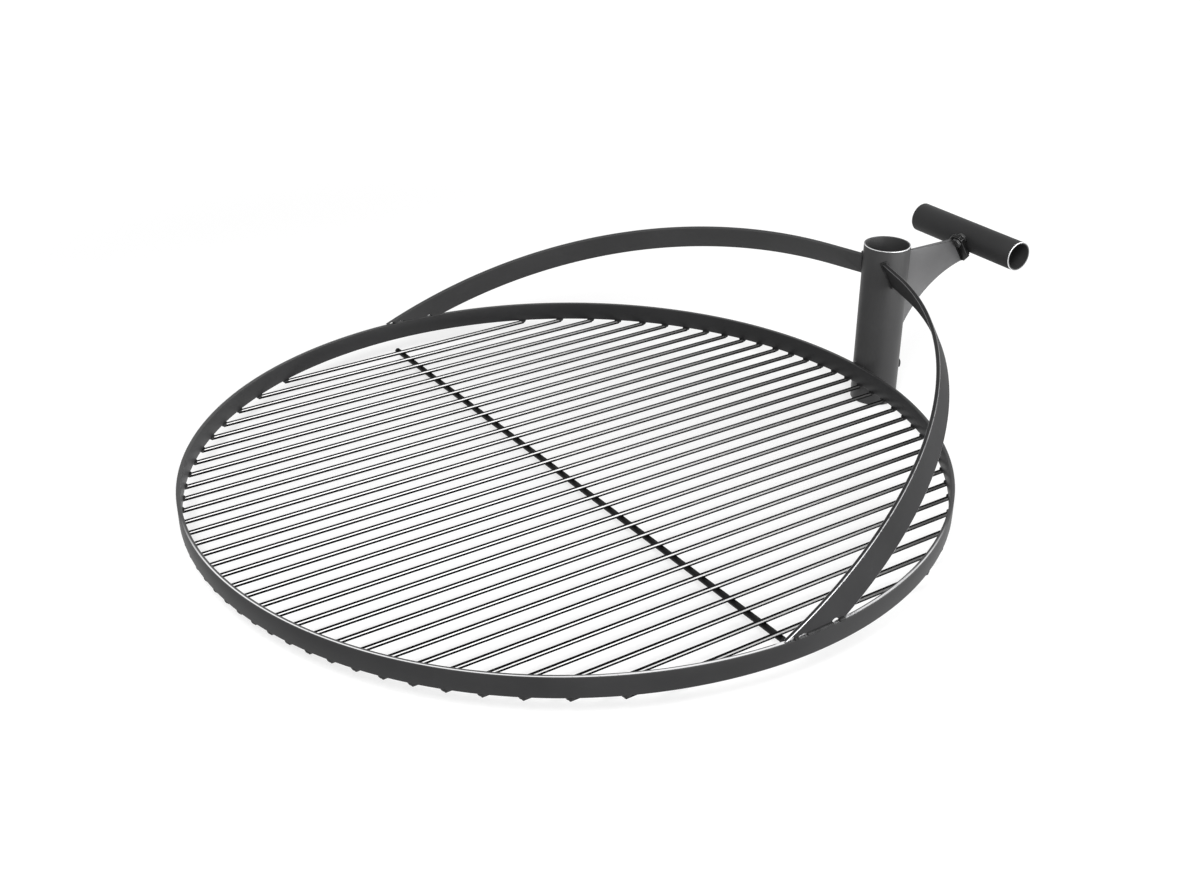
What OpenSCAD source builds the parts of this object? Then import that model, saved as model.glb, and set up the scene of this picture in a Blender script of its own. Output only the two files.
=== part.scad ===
// Round grill grate for a fire pit, carried by a sleeve that slides and swivels on a post.
// A ring of flat bar carries a row of round rods. Two rolled arms rise from the ring's top
// edge and lean in to the sleeve, and a curved gusset holds a T handle behind it.
// Millimetres. The origin is on the sleeve's axis at its lower end, +Z is up, +Y points
// from the middle of the grate to the handle, and +X runs along the cross bar.

/* [Ring] */
// Outside diameter of the ring
ring_od = 750; // [600:10:900]
// Height of the ring's flat bar
ring_h = 20; // [14:1:30]
// Thickness of the ring's flat bar
ring_t = 4; // [3:0.5:6]
// Height of the ring's lower edge above the sleeve's lower end
ring_lift = 24; // [16:1:40]
// Gap between the ring and the sleeve, which the weld fills
ring_gap = 0.5; // [0.4:0.1:1.5]

/* [Rods] */
// Number of rods in the row
rod_count = 33; // [25:1:37]
// Diameter of a rod
rod_d = 4.5; // [3.5:0.5:6]
// From the ring's inner face to the axis of the first rod, on the -X side
rod_margin_left = 31.8; // [20:0.2:44]
// From the axis of the last rod to the ring's inner face, on the +X side
rod_margin_right = 35.4; // [20:0.2:44]
// How far the rod tips stay inside the ring's outer face
rod_inset = 2.2; // [2.2:0.2:4]
// Angle by which the row is turned round the ring's middle, seen from above
rod_turn = 1.7; // [0:0.1:2.5]
// Diameter of the cross bar under the rods
bar_d = 6; // [4:0.5:8]
// How far the cross bar runs past the first rod
bar_past_left = 18.2; // [8:0.2:22]
// How far the cross bar runs past the last rod
bar_past_right = 3.4; // [3:0.2:12]
// How far the cross bar lies in front of the ring's middle
bar_front = 5.7; // [0:0.1:12]
// Angle of the cross bar against the square to the rods
bar_skew = 0.1; // [0:0.1:1.5]

/* [Arms] */
// Width of an arm's flat bar
arm_w = 28; // [22:1:36]
// Thickness of an arm's flat bar
arm_t = 4; // [3:0.5:6]
// Where an arm's centre line meets the ring, in front of the grate's cross axis
arm_foot_y = 9; // [-20:0.5:40]
// How far the arm's centre line sits inside the middle of the ring's bar
arm_foot_in = 1.5; // [0.5:0.1:3]
// How far the arm turns inwards at its foot, in its own plane
arm_heading = 7.8; // [4:0.1:12]
// Length of the straight that runs to the sleeve's axis
arm_straight = 62; // [36:1:90]
// Angle at which the arm's plane leans in over the grate
arm_lean = 10.6; // [6:0.2:14]
// Angle between the flat of the bar and the normal of the arm's plane
arm_flare = 2; // [0:0.5:4]
// From the sleeve's upper end down to the arm's centre line
arm_drop = 26.4; // [20:0.1:40]
// How far the arm's centre line passes in front of the sleeve's axis
arm_aim = 5.9; // [0:0.1:10]
// Height of the slot between the arm's cut foot and the ring, closed by short beads
foot_gap = 1; // [0.4:0.1:1.6]
// How far those beads stand out from the ring's outer face
foot_bead_out = 1.2; // [0.6:0.1:2]

/* [Sleeve] */
// Outside diameter of the sleeve
sleeve_od = 50; // [42:1:60]
// Wall of the sleeve
sleeve_wall = 2; // [1.5:0.5:4]
// Length of the sleeve
sleeve_len = 180; // [160:1:220]

/* [Lock screw] */
// Height of the lock screw above the sleeve's lower end
lock_z = 34.5; // [28:0.5:44]
// Diameter of the lock screw
screw_d = 8; // [6:1:10]
// Length of the lock screw
screw_l = 10; // [9:0.5:16]
// Radial clearance between the screw and its nut
screw_play = 0.08; // [0.03:0.01:0.1]
// Radial clearance between the screw and the hole in the sleeve's wall
screw_hole_play = 0.3; // [0.2:0.1:0.6]
// Width across the flats of the lock nut
lock_nut_af = 13; // [12:0.5:19]
// Height of the lock nut
lock_nut_h = 6.5; // [4:0.5:8]
// Width across the flats of the screw's hexagon socket
key_af = 4; // [3:0.5:5]
// Depth of the hexagon socket
key_depth = 4; // [2:0.5:5]

/* [Gusset] */
// Thickness of the gusset plate
gusset_t = 5; // [4:0.5:8]
// From the sleeve's upper end down to the gusset's top edge
gusset_drop = 13.2; // [8:0.2:24]
// Height of the gusset's lowest point above the sleeve's lower end
gusset_root_z = 65; // [54:1:80]
// Radius of the gusset's hollow lower edge
gusset_r = 118; // [100:1:160]
// How far the gusset's end runs down the flange, below the handle's axis
gusset_end = 17; // [12:0.5:20]

/* [Flange] */
// Slope of the flange: the angle of its normal above the level
flange_slope = 32.4; // [25:0.1:40]
// Thickness of the flange
flange_t = 3; // [2.5:0.5:5]
// How far the flange runs down the slope from the handle's axis
flange_down = 17.5; // [17.5:0.5:24]
// How far the flange reaches past the gusset's weld on the -X side, away from the bolt
flange_past = 0.4; // [0.2:0.1:3]
// Thickness of the handle's plate
plate_t = 2; // [1.5:0.5:3]
// How far the handle's plate stays inside the flange's outline
plate_in = 1; // [0.5:0.1:1.5]
// Cut across the flange's lower corner on the bolt's side
corner_low = 10.5; // [6:0.5:12]
// Cut across the flange's upper corner on the -X side
corner_left = 7.5; // [4:0.5:8]
// Cut across the flange's other two corners
corner_top = 3; // [1:0.5:4]

/* [Handle] */
// Outside diameter of the handle tube
handle_od = 32; // [26:1:38]
// Wall of the handle tube
handle_wall = 2; // [1.5:0.5:4]
// Length of the handle tube
handle_len = 150; // [110:1:200]
// From the sleeve's axis to the handle's axis
handle_reach = 121; // [110:1:150]
// From the sleeve's upper end down to the handle's axis
handle_drop = 14; // [6:0.5:24]

/* [Handle bolt] */
// Diameter of the bolt
bolt_d = 6; // [5:0.5:7]
// Width across the flats of the bolt's head and of its nut
bolt_af = 10; // [9:0.5:11]
// Height of the bolt's head
bolt_head_h = 4; // [3:0.5:5]
// Height of the thin nut
bolt_nut_h = 3.2; // [2.8:0.1:4]
// How far the bolt runs past its nut
bolt_past = 1; // [0.5:0.5:2]
// Room between the bolt's head and the gusset's weld beside it
bolt_side = 0.4; // [0.2:0.1:2]
// Room between the nut and the handle tube below it
bolt_above = 0.9; // [0.4:0.1:2]
// From the bolt's axis to the flange's two edges beside it
bolt_edge = 5.6; // [5.5:0.1:8]
// Radial clearance of the bolt in its holes
bolt_play = 0.3; // [0.2:0.1:0.5]

/* [Welds] */
// Leg of a fillet weld
weld_leg = 3; // [2:0.5:3.5]
// Radius of the round face of a weld dab under the ring, at a rod's tip
dab_r = 3.6; // [3.4:0.1:4.6]
// How deep a dab hangs under the ring
dab_deep = 3.2; // [2.6:0.1:3.4]
// How far a dab's middle stays inside the ring's outer face
dab_in = 2.9; // [2.1:0.2:3.5]
// Gap between a weld and the metal that it joins
weld_gap = 0.1; // [0.05:0.01:0.15]

/* [Hidden] */
$fn = 96;
ring_r = ring_od / 2;
ring_ir = ring_r - ring_t;
ring_mid = ring_r - ring_t / 2;
ring_top = ring_lift + ring_h;
sleeve_r = sleeve_od / 2;
bore_r = sleeve_r - sleeve_wall;
grate_y = ring_r + ring_gap + sleeve_r;

rod_pitch = (2 * ring_ir - rod_margin_left - rod_margin_right) / (rod_count - 1);
rod_z = ring_lift - weld_gap - rod_d / 2;
bar_z = rod_z - rod_d / 2 - weld_gap - bar_d / 2;
dab_z = ring_lift + dab_r - dab_deep;
function rod_x(i) = -ring_ir + rod_margin_left + (i - 1) * rod_pitch;
function rod_half(i, inside) = sqrt(pow(ring_r - inside, 2) - pow(rod_x(i), 2));
function rod_name(i) = str("grill_rod_", i < 10 ? "0" : "", i);

// An arm starts at its foot on the ring and aims at a point beside the sleeve's axis.
// Its plane leans by arm_lean and is tilted so that it holds both points.
arm_from = [sqrt(pow(ring_mid - arm_foot_in, 2) - pow(arm_foot_y, 2)),
    arm_foot_y - grate_y, ring_top];
arm_to = [0, -arm_aim, sleeve_len - arm_drop];
arm_d = arm_to - arm_from;
arm_tilt = atan2(arm_d[2], arm_d[1])
    + asin(tan(-arm_lean) * arm_d[0] / norm([arm_d[1], arm_d[2]]));
// The same run in the arm's own plane
arm_run = [
    arm_d * [cos(arm_lean), -sin(arm_tilt) * sin(arm_lean), cos(arm_tilt) * sin(arm_lean)],
    arm_d * [0, cos(arm_tilt), sin(arm_tilt)]];
function unit(a) = [cos(a), sin(a)];
// The bend starts at the foot with the wanted heading, and its radius is the one that
// leaves the wanted straight at its end. arm_c is the bend's centre, arm_a its last angle.
arm_r = (arm_run * arm_run - pow(arm_straight, 2)) / (-2 * (arm_run * unit(arm_heading)));
arm_c = -arm_r * unit(arm_heading);
arm_a = atan2(arm_run[1] - arm_c[1], arm_run[0] - arm_c[0]) - atan(arm_straight / arm_r);
// Half the length of the foot's flat cut, and the part of the bend that is cut away there
foot_half = arm_w / 2 * cos(arm_lean) / sin(arm_tilt);
foot_back = (foot_half + 3 * arm_t) / arm_r * 180 / PI;
// The beads under a foot, as shares of its length from the low end
foot_beads = [[0.16, 0.20], [0.37, 0.78], [0.92, 0.99]];

handle_r = handle_od / 2;
handle_z = sleeve_len - handle_drop;
gusset_top = sleeve_len - gusset_drop;
// Distances from the handle's axis towards the sleeve, square to the slope
plate_face = handle_r + weld_gap;
flange_face = plate_face + plate_t;
gusset_face = flange_face + flange_t + weld_gap;
// The bolt stands beside the gusset's weld and above the handle tube. The flange follows it.
flange_leg = weld_leg - 1;
gusset_side = gusset_t / 2 + weld_gap + flange_leg;
bolt_x = gusset_side + bolt_side + bolt_af / 2;
bolt_up = sqrt(pow(handle_r, 2) - pow(plate_face - bolt_nut_h, 2)) + bolt_above + bolt_af / 2;
flange_left = gusset_side + flange_past;
flange_right = bolt_x + bolt_edge;
flange_up = bolt_up + bolt_edge;
function slope_y(a, b) = handle_reach - a * cos(flange_slope) + b * sin(flange_slope);
function slope_z(a, b) = handle_z - a * sin(flange_slope) - b * cos(flange_slope);
gusset_up = (gusset_top - handle_z + gusset_face * sin(flange_slope)) / cos(flange_slope);
gusset_a = [sleeve_r + weld_gap, gusset_root_z];
gusset_b = [slope_y(gusset_face, gusset_end), slope_z(gusset_face, gusset_end)];
gusset_chord = gusset_b - gusset_a;
gusset_c = (gusset_a + gusset_b) / 2 + [gusset_chord[1], -gusset_chord[0]]
    * sqrt(pow(gusset_r / norm(gusset_chord), 2) - 0.25);

function hex_r(af) = af / 2 / cos(30);
screw_tip = bore_r;
nut_in = sleeve_r + weld_gap;

steel = [0.21, 0.21, 0.22];
bright = [0.62, 0.62, 0.63];
black = [0.06, 0.06, 0.06];
seam = [0.16, 0.16, 0.165];

// Puts its children at the middle of the grate
module at_grate() {
    translate([0, -grate_y, 0]) children();
}

// Puts its children in an arm's own plane, with the foot at the origin
module in_arm_plane() {
    translate(arm_from) rotate([arm_tilt, 0, 0]) rotate([0, -arm_lean, 0]) children();
}

// Puts its children on the handle's axis: X across, Y down the slope, Z away from the sleeve
module on_slope() {
    translate([0, handle_reach, handle_z]) rotate([flange_slope - 90, 0, 0]) children();
}

// Left and right at once
module both_sides() {
    children();
    mirror([1, 0, 0]) children();
}

// The ring: flat bar rolled on its easy way and butt welded
module rim_ring() {
    color(steel) at_grate() translate([0, 0, ring_lift]) difference() {
        cylinder(h = ring_h, r = ring_r);
        translate([0, 0, -1]) cylinder(h = ring_h + 2, r = ring_ir);
    }
}

// One rod of the row, cut to the ring's circle, with the dabs of weld that hold its tips
// to the ring's lower edge
module grill_rod(i) {
    y = rod_half(i, rod_inset);
    dab_y = rod_half(i, dab_in);
    color(bright) at_grate() difference() {
        rotate(rod_turn) difference() {
            translate([rod_x(i), 0, 0]) union() {
                translate([0, y, rod_z]) rotate([90, 0, 0]) cylinder(h = 2 * y, d = rod_d);
                for (s = [-1, 1]) translate([0, s * dab_y, dab_z]) sphere(r = dab_r);
            }
            translate([rod_x(i) - 2 * dab_r, -ring_r - dab_r, ring_lift - weld_gap / 2])
                cube([4 * dab_r, ring_od + 2 * dab_r, 2 * dab_r]);
        }
        translate([0, grate_y, 0]) cylinder(h = ring_lift + ring_h, r = sleeve_r + weld_gap);
    }
}

// The bar that ties all rods together from below
module cross_bar() {
    from = rod_x(1) - bar_past_left;
    color(black) at_grate() rotate(rod_turn + bar_skew) translate([from, -bar_front, bar_z])
        rotate([0, 90, 0])
        cylinder(h = rod_x(rod_count) + bar_past_right - from, d = bar_d);
}

// Section of an arm's flat bar, grown on its flats by g
module arm_section(g = 0) {
    rotate(-arm_flare) square([arm_t + 2 * g, arm_w], center = true);
}

// Puts its children where an arm's bend passes into its straight, which runs along Y
module at_bend_end() {
    in_arm_plane() translate([arm_c[0], arm_c[1], 0]) rotate(arm_a) children();
}

// The straight at the sleeve's end of an arm
module arm_end(g = 0) {
    translate([arm_r, 0, 0]) rotate([90, 0, 0]) translate([0, 0, -arm_straight])
        linear_extrude(arm_straight) arm_section(g);
}

// An arm: a long bend and a straight; the foot is cut level and the end is coped to the
// sleeve
module arm_bar() {
    difference() {
        at_bend_end() union() {
            rotate_extrude(angle = arm_heading - foot_back - arm_a, $fn = 360)
                translate([arm_r, 0]) arm_section();
            arm_end();
        }
        translate([arm_from[0] - 2 * arm_w, arm_from[1] - 2 * foot_half,
            ring_top + foot_gap - 4 * arm_w]) cube([4 * arm_w, 4 * foot_half, 4 * arm_w]);
        cylinder(h = sleeve_len + 40, r = sleeve_r + weld_gap);
    }
}

module arm_right() {
    color(steel) arm_bar();
}

module arm_left() {
    color(steel) mirror([1, 0, 0]) arm_bar();
}

// The tube that slides on the post, with the lock screw's hole in its back
module post_sleeve() {
    color(steel) difference() {
        cylinder(h = sleeve_len, r = sleeve_r);
        translate([0, 0, -1]) cylinder(h = sleeve_len + 2, r = bore_r);
        translate([0, 0, lock_z]) rotate([-90, 0, 0])
            cylinder(h = sleeve_r + 1, d = screw_d + 2 * screw_hole_play);
    }
}

// Gusset plate with its hollow lower edge
module handle_gusset() {
    color(steel) rotate([90, 0, 90]) translate([0, 0, -gusset_t / 2])
        linear_extrude(gusset_t) difference() {
            polygon([
                gusset_a,
                [gusset_a[0], gusset_top],
                [slope_y(gusset_face, -gusset_up), gusset_top],
                gusset_b]);
            translate(gusset_c) circle(r = gusset_r, $fn = 360);
        }
}

// Outline of the flange with the bolt's hole; the handle's plate stays inside it by g
module plate_outline(g = 0) {
    left = g - flange_left;
    right = flange_right - g;
    top = g - flange_up;
    low = flange_down - g;
    difference() {
        polygon([
            [left + corner_left, top], [right - corner_top, top], [right, top + corner_top],
            [right, low - corner_low], [right - corner_low, low], [left + corner_top, low],
            [left, low - corner_top], [left, top + corner_left]]);
        translate([bolt_x, -bolt_up]) circle(d = bolt_d + 2 * bolt_play);
    }
}

// The flange welded across the gusset's end
module handle_flange() {
    color(steel) on_slope() translate([0, 0, -flange_face - flange_t])
        linear_extrude(flange_t) plate_outline();
}

// The plate welded to the handle tube and bolted to the flange
module handle_plate() {
    color(steel) on_slope() translate([0, 0, -flange_face])
        linear_extrude(plate_t) plate_outline(plate_in);
}

module handle_tube() {
    color(steel) translate([-handle_len / 2, handle_reach, handle_z]) rotate([0, 90, 0])
        difference() {
            cylinder(h = handle_len, r = handle_r);
            translate([0, 0, -1]) cylinder(h = handle_len + 2, r = handle_r - handle_wall);
        }
}

// Hexagon bolt, with its head on the sleeve's side and two flats along the slope
module handle_bolt() {
    shank = flange_t + plate_t + bolt_nut_h + bolt_past;
    color(seam) on_slope() translate([bolt_x, -bolt_up, -flange_face - flange_t]) union() {
        translate([0, 0, -bolt_head_h / 2]) cylinder(h = shank + bolt_head_h / 2, d = bolt_d);
        translate([0, 0, -bolt_head_h]) rotate(30)
            cylinder(h = bolt_head_h, r = hex_r(bolt_af), $fn = 6);
    }
}

// Its thin nut, with a flat towards the handle tube
module handle_nut() {
    color(seam) on_slope() translate([bolt_x, -bolt_up, -plate_face]) difference() {
        cylinder(h = bolt_nut_h, r = hex_r(bolt_af), $fn = 6);
        translate([0, 0, -1]) cylinder(h = bolt_nut_h + 2, d = bolt_d + 2 * screw_play);
    }
}

// The nut welded over the hole in the sleeve
module lock_nut() {
    color(steel) translate([0, nut_in, lock_z]) rotate([-90, 0, 0]) difference() {
        cylinder(h = lock_nut_h, r = hex_r(lock_nut_af), $fn = 6);
        translate([0, 0, -1])
            cylinder(h = lock_nut_h + 2, d = screw_d + 2 * screw_play);
    }
}

// Set screw with a hexagon socket; its tip is flush with the bore when it is open
module lock_screw() {
    color(seam) translate([0, screw_tip, lock_z]) rotate([-90, 0, 0]) difference() {
        cylinder(h = screw_l, d = screw_d);
        translate([0, 0, screw_l - key_depth])
            cylinder(h = key_depth + 1, r = hex_r(key_af), $fn = 6);
    }
}

// The weld in the two grooves between the ring and the sleeve
module sleeve_rim_weld() {
    color(seam) translate([0, 0, ring_lift]) linear_extrude(ring_h) difference() {
        translate([-3 * weld_leg, -sleeve_r - ring_gap + weld_gap])
            square([6 * weld_leg, ring_gap + 2 * weld_leg]);
        circle(r = sleeve_r + weld_gap, $fn = 256);
    }
}

// Short beads that close the slot under each arm's foot
module arm_foot_welds() {
    color(seam) both_sides() at_grate() for (b = foot_beads) {
        a0 = asin((arm_foot_y - foot_half + 2 * foot_half * b[0]) / ring_r);
        a1 = asin((arm_foot_y - foot_half + 2 * foot_half * b[1]) / ring_r);
        rotate(a0) rotate_extrude(angle = a1 - a0, $fn = 360)
            translate([ring_mid - arm_foot_in, ring_top + weld_gap / 2])
            square([ring_t / 2 + arm_foot_in + foot_bead_out, foot_gap - weld_gap]);
    }
}

// Collars of weld round the arms' coped ends
module arm_sleeve_welds() {
    color(seam) both_sides() difference() {
        intersection() {
            at_bend_end() arm_end(weld_leg);
            cylinder(h = sleeve_len, r = sleeve_r + weld_leg);
        }
        at_bend_end() arm_end(weld_gap);
        cylinder(h = sleeve_len + 40, r = sleeve_r + weld_gap);
    }
}

// Upright fillets between the gusset and the sleeve
module gusset_welds() {
    x = gusset_t / 2 + weld_gap;
    low = gusset_root_z + 3 * weld_leg;
    color(seam) both_sides() translate([0, 0, low])
        linear_extrude(gusset_top - low) difference() {
            polygon([[x, sleeve_r - 2 * weld_leg], [x, sleeve_r + weld_leg],
                [x + weld_leg + 1, sleeve_r - 1], [x + weld_leg + 1, sleeve_r - 2 * weld_leg]]);
            circle(r = sleeve_r + weld_gap, $fn = 256);
        }
}

// Fillets between the gusset's end and the flange
module flange_welds() {
    x = gusset_t / 2 + weld_gap;
    z = -flange_face - flange_t - weld_gap;
    color(seam) both_sides() on_slope() translate([0, gusset_end - 1, 0])
        rotate([90, 0, 0]) linear_extrude(gusset_end + gusset_up - 4)
        polygon([[x, z], [x + flange_leg, z], [x, z - flange_leg]]);
}

// Fillets between the handle tube and its plate, above and below the line of contact
module handle_welds() {
    color(seam) on_slope() translate([plate_in + 1 - flange_left, 0, 0]) rotate([90, 0, 90])
        linear_extrude(flange_left + flange_right - 2 * plate_in - weld_leg - 1)
        for (s = [-1, 1]) difference() {
            polygon([
                [s * weld_leg, -plate_face + weld_gap],
                [s * 3 * weld_leg, -plate_face + weld_gap],
                [s * (2 * weld_leg + 2), -plate_face + 1 + weld_leg],
                [s * weld_leg, -plate_face + 1 + weld_leg]]);
            circle(r = handle_r + weld_gap, $fn = 256);
        }
}

// Fillet round the foot of the lock nut
module lock_nut_weld() {
    color(seam) difference() {
        translate([0, sleeve_r - 2, lock_z]) rotate([-90, 0, 0])
            cylinder(h = 2 + weld_leg, r1 = hex_r(lock_nut_af) + weld_leg,
                r2 = hex_r(lock_nut_af) + 0.4);
        translate([0, 0, lock_z]) rotate([-90, 0, 0])
            cylinder(h = 2 * sleeve_r, r = hex_r(lock_nut_af + 2 * weld_gap), $fn = 6);
        cylinder(h = sleeve_len, r = sleeve_r + weld_gap);
    }
}

for (i = [1 : rod_count]) grill_rod(i);
rim_ring();
cross_bar();
arm_left();
arm_right();
post_sleeve();
handle_gusset();
handle_flange();
handle_plate();
handle_tube();
handle_bolt();
handle_nut();
lock_nut();
lock_screw();
sleeve_rim_weld();
arm_foot_welds();
arm_sleeve_welds();
gusset_welds();
flange_welds();
handle_welds();
lock_nut_weld();
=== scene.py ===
# %% [markdown]
# # Round grill grate of a fire pit
# This notebook dresses a imported CAD model: a steel ring with a row of round rods, two rolled
# arms that climb to a sleeve, and a T handle behind it. The CAD gives every size. Here the
# edges get their rounding and wear, the welds their ripples and the steel its finish, and some
# colours hold painted highlights, painted shade and painted reflections.

# %% Load the frame
import math

import bpy
from mathutils import Matrix, Vector


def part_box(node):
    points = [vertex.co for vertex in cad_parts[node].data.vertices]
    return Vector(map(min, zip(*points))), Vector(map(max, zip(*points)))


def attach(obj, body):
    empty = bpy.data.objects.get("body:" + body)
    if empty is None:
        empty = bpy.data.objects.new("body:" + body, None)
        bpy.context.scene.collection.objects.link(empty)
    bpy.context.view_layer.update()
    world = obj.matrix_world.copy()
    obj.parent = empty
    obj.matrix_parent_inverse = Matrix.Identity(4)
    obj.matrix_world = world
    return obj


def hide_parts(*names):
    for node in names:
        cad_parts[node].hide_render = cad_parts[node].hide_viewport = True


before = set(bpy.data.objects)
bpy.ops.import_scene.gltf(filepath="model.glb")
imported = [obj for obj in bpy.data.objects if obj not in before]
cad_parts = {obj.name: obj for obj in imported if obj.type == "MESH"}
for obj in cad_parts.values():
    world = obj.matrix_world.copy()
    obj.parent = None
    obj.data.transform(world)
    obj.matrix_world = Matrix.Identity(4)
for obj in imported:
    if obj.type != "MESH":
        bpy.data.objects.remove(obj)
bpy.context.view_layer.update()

# %% [markdown]
# The camera comes first, because every later look is judged through it. The photograph was
# taken from the grate's right front, looking down on it. Its place, turn and lens were found
# by fitting the ring's outline and the sleeve's edges, so they are plain numbers here.

# %% Camera
MM = 0.001
VIEW_AZIMUTH, VIEW_HEIGHT, VIEW_ROLL = (math.radians(v) for v in (57.814, 27.864, 0.288))
CAMERA_PLACE = Vector((1.1290, -1.0739, 0.7431))
FOCAL_PIXELS, SHIFT_PIXELS, PHOTO_WIDE = 1508.05, 0.8, 1200
SENSOR_WIDE = 36

toward = Vector((math.sin(VIEW_AZIMUTH) * math.cos(VIEW_HEIGHT),
                 -math.cos(VIEW_AZIMUTH) * math.cos(VIEW_HEIGHT),
                 math.sin(VIEW_HEIGHT)))
level = Vector((math.cos(VIEW_AZIMUTH), math.sin(VIEW_AZIMUTH), 0))
over = toward.cross(level)
right = level * math.cos(VIEW_ROLL) + over * math.sin(VIEW_ROLL)
above = over * math.cos(VIEW_ROLL) - level * math.sin(VIEW_ROLL)
camera_data = bpy.data.cameras.new("photo_camera")
camera_data.sensor_width = SENSOR_WIDE
camera_data.lens = SENSOR_WIDE * FOCAL_PIXELS / PHOTO_WIDE
camera_data.shift_x = SHIFT_PIXELS / PHOTO_WIDE
camera_data.clip_start = 20 * MM
camera = bpy.data.objects.new("photo_camera", camera_data)
bpy.context.scene.collection.objects.link(camera)
turn = Matrix((right, above, toward)).transposed().to_4x4()
camera.matrix_world = Matrix.Translation(CAMERA_PLACE) @ turn
bpy.context.scene.camera = camera
bpy.context.scene.view_settings.view_transform = "Standard"
print("lens %.2f mm, camera at" % camera_data.lens, tuple(round(v, 3) for v in CAMERA_PLACE))

# %% [markdown]
# The sizes below are the CAD's own, in metres, so each new piece lands on the solid that it
# stands for. The shared frame has its origin on the sleeve's axis at its lower end, +Z up and
# +Y from the grate to the handle. GRATE is the ring's centre.

# %% Sizes of the ring and the sleeve
RING_R, RING_T, RING_H, RING_LIFT = 375 * MM, 4 * MM, 20 * MM, 24 * MM
RING_TOP = RING_LIFT + RING_H
GRATE = Vector((0, -400.5 * MM, 0))
SLEEVE_R, SLEEVE_WALL, SLEEVE_LEN = 25 * MM, 2 * MM, 180 * MM
WELD_GAP = 0.1 * MM
ring_low, ring_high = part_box("rim_ring")
print("ring spans", tuple(round(v, 4) for v in ring_high - ring_low))

# %% [markdown]
# Modelling by hand means: add a primitive, go to edit mode, select faces by their place, push
# them about, and finish with modifiers. The helpers below keep that short. An operator works
# on all that is selected, so each one first clears the selection.

# %% Helpers that select and edit
HERE = Matrix.Identity(4)


def clear_selection():
    if bpy.context.object and bpy.context.object.mode != "OBJECT":
        bpy.ops.object.mode_set(mode="OBJECT")
    bpy.ops.object.select_all(action="DESELECT")


def pick(piece):
    clear_selection()
    piece.select_set(True)
    bpy.context.view_layer.objects.active = piece


def new_piece(name):
    piece = bpy.context.object
    piece.name = name
    piece.data.name = name
    return piece


def place(piece, matrix=HERE):
    """Moves a piece by a matrix, if one is given, and puts its transform into its mesh."""
    pick(piece)
    piece.matrix_world = matrix @ piece.matrix_world
    bpy.ops.object.transform_apply(location=True, rotation=True, scale=True)


def edit_all():
    """Opens the active piece in edit mode with all of it selected."""
    bpy.ops.object.mode_set(mode="EDIT")
    bpy.ops.mesh.select_all(action="SELECT")


def close_edit():
    bpy.ops.object.mode_set(mode="OBJECT")


def slice_off(point, keep):
    """Cuts the active piece at a plane, keeps the side that keep points to, fills the cut."""
    edit_all()
    bpy.ops.mesh.bisect(plane_co=tuple(point), plane_no=tuple(keep), use_fill=True,
                        clear_inner=True)
    close_edit()


def select_faces(piece, test):
    """Selects, in edit mode, the faces whose middle and normal pass a test."""
    bpy.ops.object.mode_set(mode="OBJECT")
    for part in (piece.data.vertices, piece.data.edges):
        part.foreach_set("select", [False] * len(part))
    for face in piece.data.polygons:
        face.select = bool(test(face.center, face.normal))
    bpy.ops.object.mode_set(mode="EDIT")
    bpy.ops.mesh.select_mode(type="FACE")


def select_edges(piece, test):
    """Selects, in edit mode, the edges whose two ends pass a test."""
    bpy.ops.object.mode_set(mode="OBJECT")
    for part in (piece.data.vertices, piece.data.polygons):
        part.foreach_set("select", [False] * len(part))
    points = piece.data.vertices
    for edge in piece.data.edges:
        a, b = (points[i].co for i in edge.vertices)
        edge.select = bool(test(a, b))
    bpy.ops.object.mode_set(mode="EDIT")
    bpy.ops.mesh.select_mode(type="EDGE")


print("ready to select and edit")


# %% Helpers that shape and copy
def finish_with(piece, kind, **settings):
    """Adds a modifier with its settings and applies it."""
    pick(piece)
    modifier = piece.modifiers.new(kind.lower(), kind)
    for key, value in settings.items():
        setattr(modifier, key, value)
    bpy.ops.object.modifier_apply(modifier=modifier.name)


def cut_with(piece, cutter):
    finish_with(piece, "BOOLEAN", object=cutter, operation="DIFFERENCE", solver="EXACT")
    bpy.data.objects.remove(cutter)


def round_edges(piece, width, segments=2, material=-1, angle=32):
    finish_with(piece, "BEVEL", width=width, segments=segments, limit_method="ANGLE",
                angle_limit=math.radians(angle), material=material, use_clamp_overlap=True)


def smooth(piece, angle=32):
    pick(piece)
    bpy.ops.object.shade_smooth_by_angle(angle=math.radians(angle))


def join(name, pieces):
    clear_selection()
    for piece in pieces:
        piece.select_set(True)
    bpy.context.view_layer.objects.active = pieces[0]
    bpy.ops.object.join()
    return new_piece(name)


def twin(piece, name):
    """A copy with its own mesh."""
    copy = piece.copy()
    copy.data = piece.data.copy()
    copy.name = copy.data.name = name
    bpy.context.scene.collection.objects.link(copy)
    return copy


def mirrored(piece, name):
    """The twin across the middle plane, with its faces turned outwards again."""
    copy = twin(piece, name)
    place(copy, Matrix.Scale(-1, 4, (1, 0, 0)))
    edit_all()
    bpy.ops.mesh.normals_make_consistent(inside=False)
    close_edit()
    return copy


def rod_cutter(radius, length, matrix, sides):
    """A cylinder that stands on its local origin, for boolean cuts."""
    clear_selection()
    bpy.ops.mesh.primitive_cylinder_add(vertices=sides, radius=radius, depth=length,
                                        location=(0, 0, length / 2))
    cutter = new_piece("cutter")
    place(cutter, matrix)
    return cutter


def measure(piece):
    corners = [v.co for v in piece.data.vertices]
    size = [max(c[i] for c in corners) - min(c[i] for c in corners) for i in range(3)]
    print(piece.name, len(piece.data.polygons), "faces, spans",
          " x ".join("%.1f" % (v / MM) for v in size), "mm")


print("ready to shape and copy")

# %% [markdown]
# Shader maths reads best as plain formulas. A small class wraps a socket and overloads the
# operators, so `1 - mask` adds a Math node by itself. Every node comes from one function that
# takes its kind, its settings and what goes into its sockets. Wiring each node by hand would
# work as well, but nobody could read the formula in it afterwards.

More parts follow.
